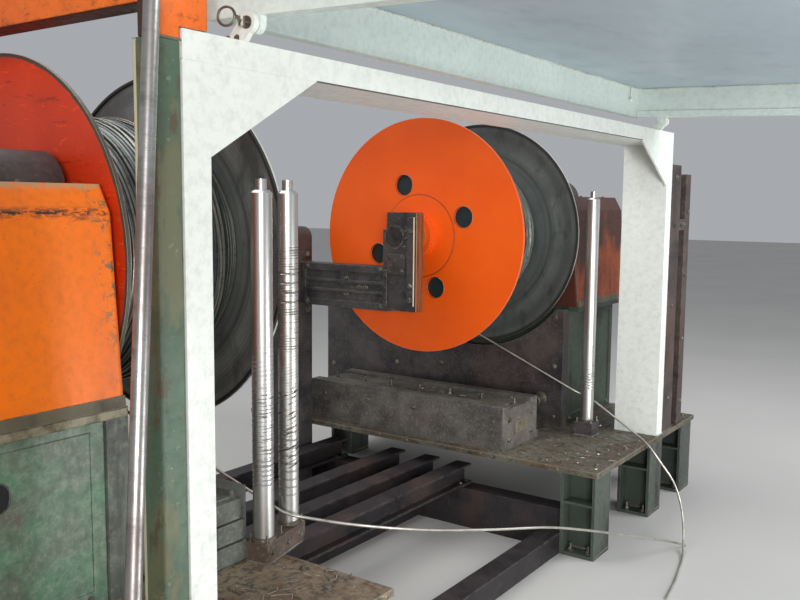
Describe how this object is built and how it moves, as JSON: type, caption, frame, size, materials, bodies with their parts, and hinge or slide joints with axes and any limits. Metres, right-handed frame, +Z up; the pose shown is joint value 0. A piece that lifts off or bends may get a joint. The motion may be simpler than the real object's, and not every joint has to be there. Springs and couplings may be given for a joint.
{
  "type": "twin edge-trim winder of a slitting line",
  "caption": "Slitting line station that winds trimmed strip edges: flanged reels on arms and drives behind a guard portal, vertical guide rollers, tables and a raised guard door.",
  "frame": {"origin": "on the floor under the reel axis, midway between the two reels", "axes": "+X from the reels to the operator side, +Y along the reel axis, +Z up"},
  "size_m": [3.6927, 4.34, 2.2163],
  "materials": {
    "portal_white": "satin paint, scuffed",
    "reel_orange": "clean satin paint",
    "reel_red": "worn satin paint",
    "cover_orange": "scratched satin paint",
    "cover_brown": "dirty satin paint",
    "machine_green": "worn and oily paint",
    "dark_casting": "oily and dirty",
    "table_steel": "worn bare plate",
    "leg_green": "dirty paint",
    "polished_steel": "polished by use",
    "flange_steel": "turned and oily",
    "coil_steel": "wound strip edges",
    "strand_steel": "bright sheared edge",
    "door_blue_grey": "smooth paint"
  },
  "bodies": {
    "frame": {"cross_beams": "dark_casting", "floor_ties": "dark_casting", "hinge_brackets": "portal_white", "leaning_bar": "polished_steel", "left_arm": "dark_casting", "left_arm_column": "dark_casting", "left_bearing_head": "dark_casting", "left_bed": "dark_casting", "left_column": "machine_green", "left_column_cap": "cover_orange", "left_drive_base": "machine_green", "left_drive_cover": "cover_orange", "left_drive_wall": "dark_casting", "left_floor_beam": "dark_casting", "left_gearbox": "dark_casting", "left_rear_column": "machine_green", "left_roller_stand": "dark_casting", "left_table_legs": "leg_green", "left_table_top": "table_steel", "portal_gussets": "portal_white", "portal_header": "portal_white", "portal_left_post": "portal_white", "portal_right_post": "portal_white", "right_arm": "dark_casting", "right_arm_column": "dark_casting", "right_bearing_head": "dark_casting", "right_bed": "dark_casting", "right_column": "dark_casting", "right_drive_base": "machine_green", "right_drive_cover": "cover_brown", "right_drive_wall": "dark_casting", "right_floor_beam": "dark_casting", "right_gearbox": "dark_casting", "right_roller_stand": "dark_casting", "right_side_post": "dark_casting", "right_side_strap": "dark_casting", "right_table_legs": "leg_green", "right_table_top": "table_steel", "top_beam": "cover_orange", "trim_strand_1": "strand_steel", "trim_strand_2": "strand_steel"},
    "reel_1": {"reel_1_front_flange": "reel_red", "reel_1_rear_flange": "flange_steel", "reel_1_core": "flange_steel", "reel_1_coil": "coil_steel"},
    "reel_2": {"reel_2_front_flange": "reel_orange", "reel_2_rear_flange": "flange_steel", "reel_2_core": "reel_orange", "reel_2_coil": "coil_steel"},
    "left_roller_1": {"left_roller_1": "polished_steel"},
    "left_roller_2": {"left_roller_2": "polished_steel"},
    "right_roller": {"right_roller": "polished_steel"},
    "guard_door": {"door_skin": "door_blue_grey", "door_rear_rim": "portal_white", "door_front_rim": "portal_white", "door_side_rims": "portal_white"}
  },
  "joints": [
    {"name": "reel_1_turn", "type": "hinge", "parent": "frame", "child": "reel_1", "pos_m": [0, -1.147, 1.464], "axis": [0, 1, 0], "continuous": true},
    {"name": "reel_2_turn", "type": "hinge", "parent": "frame", "child": "reel_2", "pos_m": [0, 1.147, 1.464], "axis": [0, 1, 0], "continuous": true},
    {"name": "left_roller_1_turn", "type": "hinge", "parent": "frame", "child": "left_roller_1", "pos_m": [0.678, -1.027, 0.597], "axis": [0, 0, 1], "continuous": true},
    {"name": "left_roller_2_turn", "type": "hinge", "parent": "frame", "child": "left_roller_2", "pos_m": [0.642, -0.8711, 0.597], "axis": [0, 0, 1], "continuous": true},
    {"name": "right_roller_turn", "type": "hinge", "parent": "frame", "child": "right_roller", "pos_m": [0.72, 1.38, 0.502], "axis": [0, 0, 1], "continuous": true},
    {"name": "guard_door_swing", "type": "hinge", "parent": "frame", "child": "guard_door", "pos_m": [1.048, 0, 2.045], "axis": [0, 1, 0], "range_deg": [0, 88.1]}
  ]
}
